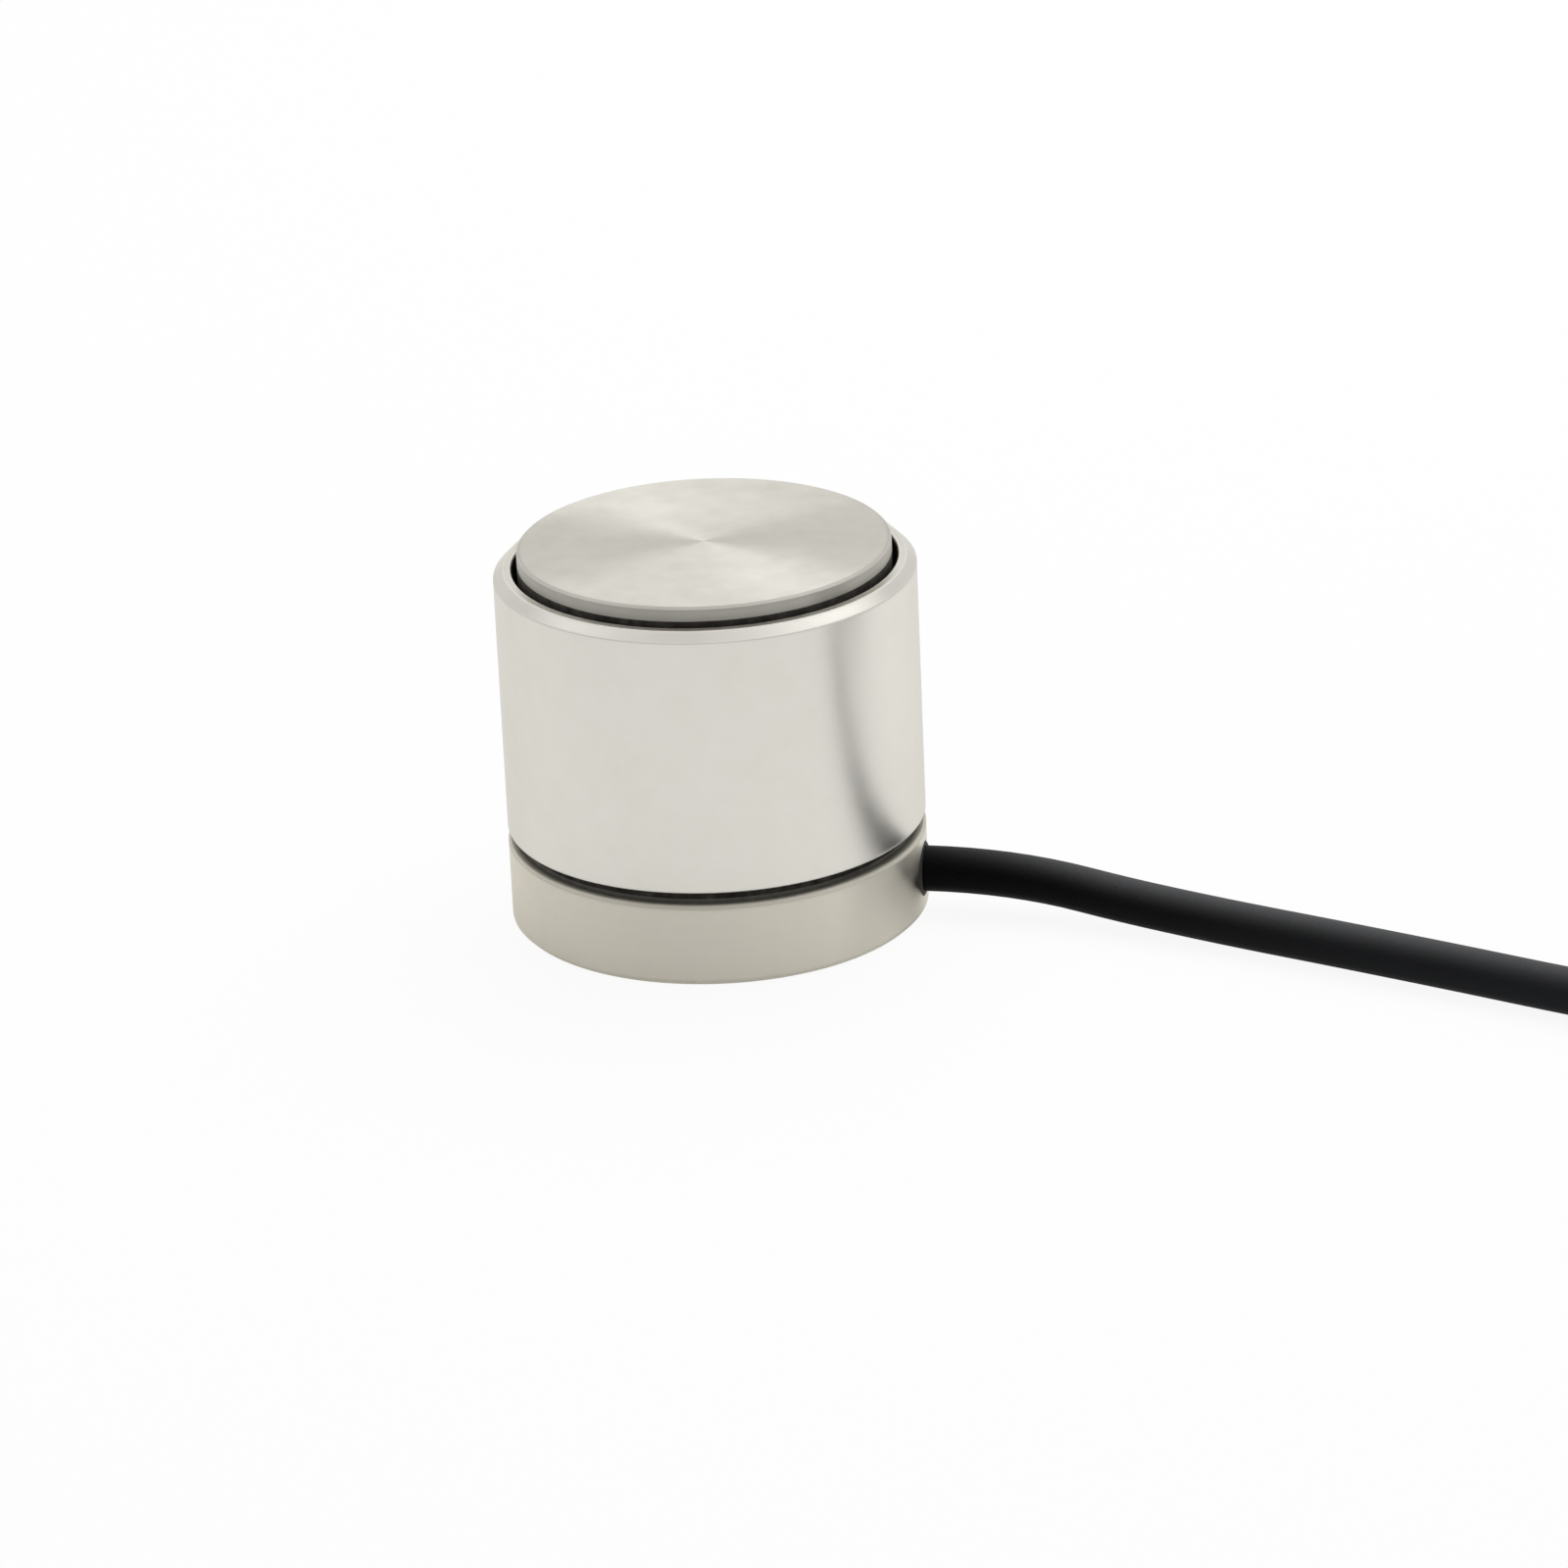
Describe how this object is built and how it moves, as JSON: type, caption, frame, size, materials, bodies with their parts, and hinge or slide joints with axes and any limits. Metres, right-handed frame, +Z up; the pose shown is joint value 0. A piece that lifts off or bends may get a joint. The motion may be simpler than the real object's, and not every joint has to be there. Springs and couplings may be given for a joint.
{
  "type": "compression load cell",
  "caption": "Canister compression load cell: turned steel column in a sleeve, raised flat load face on top, tapped base below, black cable from the base ring ending in bare cores.",
  "frame": {"origin": "centre of the base ring's underside", "axes": "+Z up along the load axis to the load face, +X out of the cable's hole"},
  "size_m": [0.2233, 0.0659, 0.0415],
  "materials": {
    "turned_steel": "fine turned stainless steel, satin",
    "seal_rubber": "matt black rubber",
    "gauge_film": "amber polyimide film",
    "gauge_alloy": "etched foil",
    "copper_wire": "bare copper",
    "tinned_wire": "tinned copper",
    "insulating_film": "pressed board",
    "board_laminate": "green glass laminate",
    "chip_body": "glazed chip with tinned ends",
    "ferrule_brass": "crimped brass",
    "cable_jacket": "matt black jacket",
    "red_core": "red insulation",
    "white_core": "white insulation",
    "black_core": "black insulation",
    "green_core": "green insulation",
    "potting_resin": "cast resin",
    "tie_nylon": "black nylon"
  },
  "bodies": {
    "root": {"load_column": "turned_steel", "outer_sleeve": "turned_steel", "head_seal_ring": "seal_rubber", "sleeve_o_ring": "seal_rubber", "cable_grommet": "seal_rubber", "gauge_carrier_1": "gauge_film", "gauge_carrier_2": "gauge_film", "gauge_carrier_3": "gauge_film", "gauge_carrier_4": "gauge_film", "gauge_terminal_1": "gauge_film", "gauge_terminal_2": "gauge_film", "gauge_terminal_3": "gauge_film", "gauge_terminal_4": "gauge_film", "gauge_foil_1": "gauge_alloy", "gauge_foil_2": "gauge_alloy", "gauge_foil_3": "gauge_alloy", "gauge_foil_4": "gauge_alloy", "gauge_leads_1": "copper_wire", "gauge_leads_2": "copper_wire", "gauge_leads_3": "copper_wire", "gauge_leads_4": "copper_wire", "core_drain": "tinned_wire", "end_drain": "tinned_wire", "end_core_tips": "tinned_wire", "board_insulator": "insulating_film", "terminal_board": "board_laminate", "span_resistor_plus": "chip_body", "span_resistor_minus": "chip_body", "zero_resistor": "chip_body", "balance_resistor": "chip_body", "cable_ferrule": "ferrule_brass", "cable_tail": "cable_jacket", "cable_run": "cable_jacket", "cable_coil": "cable_jacket", "cable_end": "cable_jacket", "core_red": "red_core", "end_core_red": "red_core", "core_white": "white_core", "end_core_white": "white_core", "core_black": "black_core", "end_core_black": "black_core", "core_green": "green_core", "end_core_green": "green_core", "potting_plug": "potting_resin", "coil_tie": "tie_nylon"}
  },
  "joints": []
}
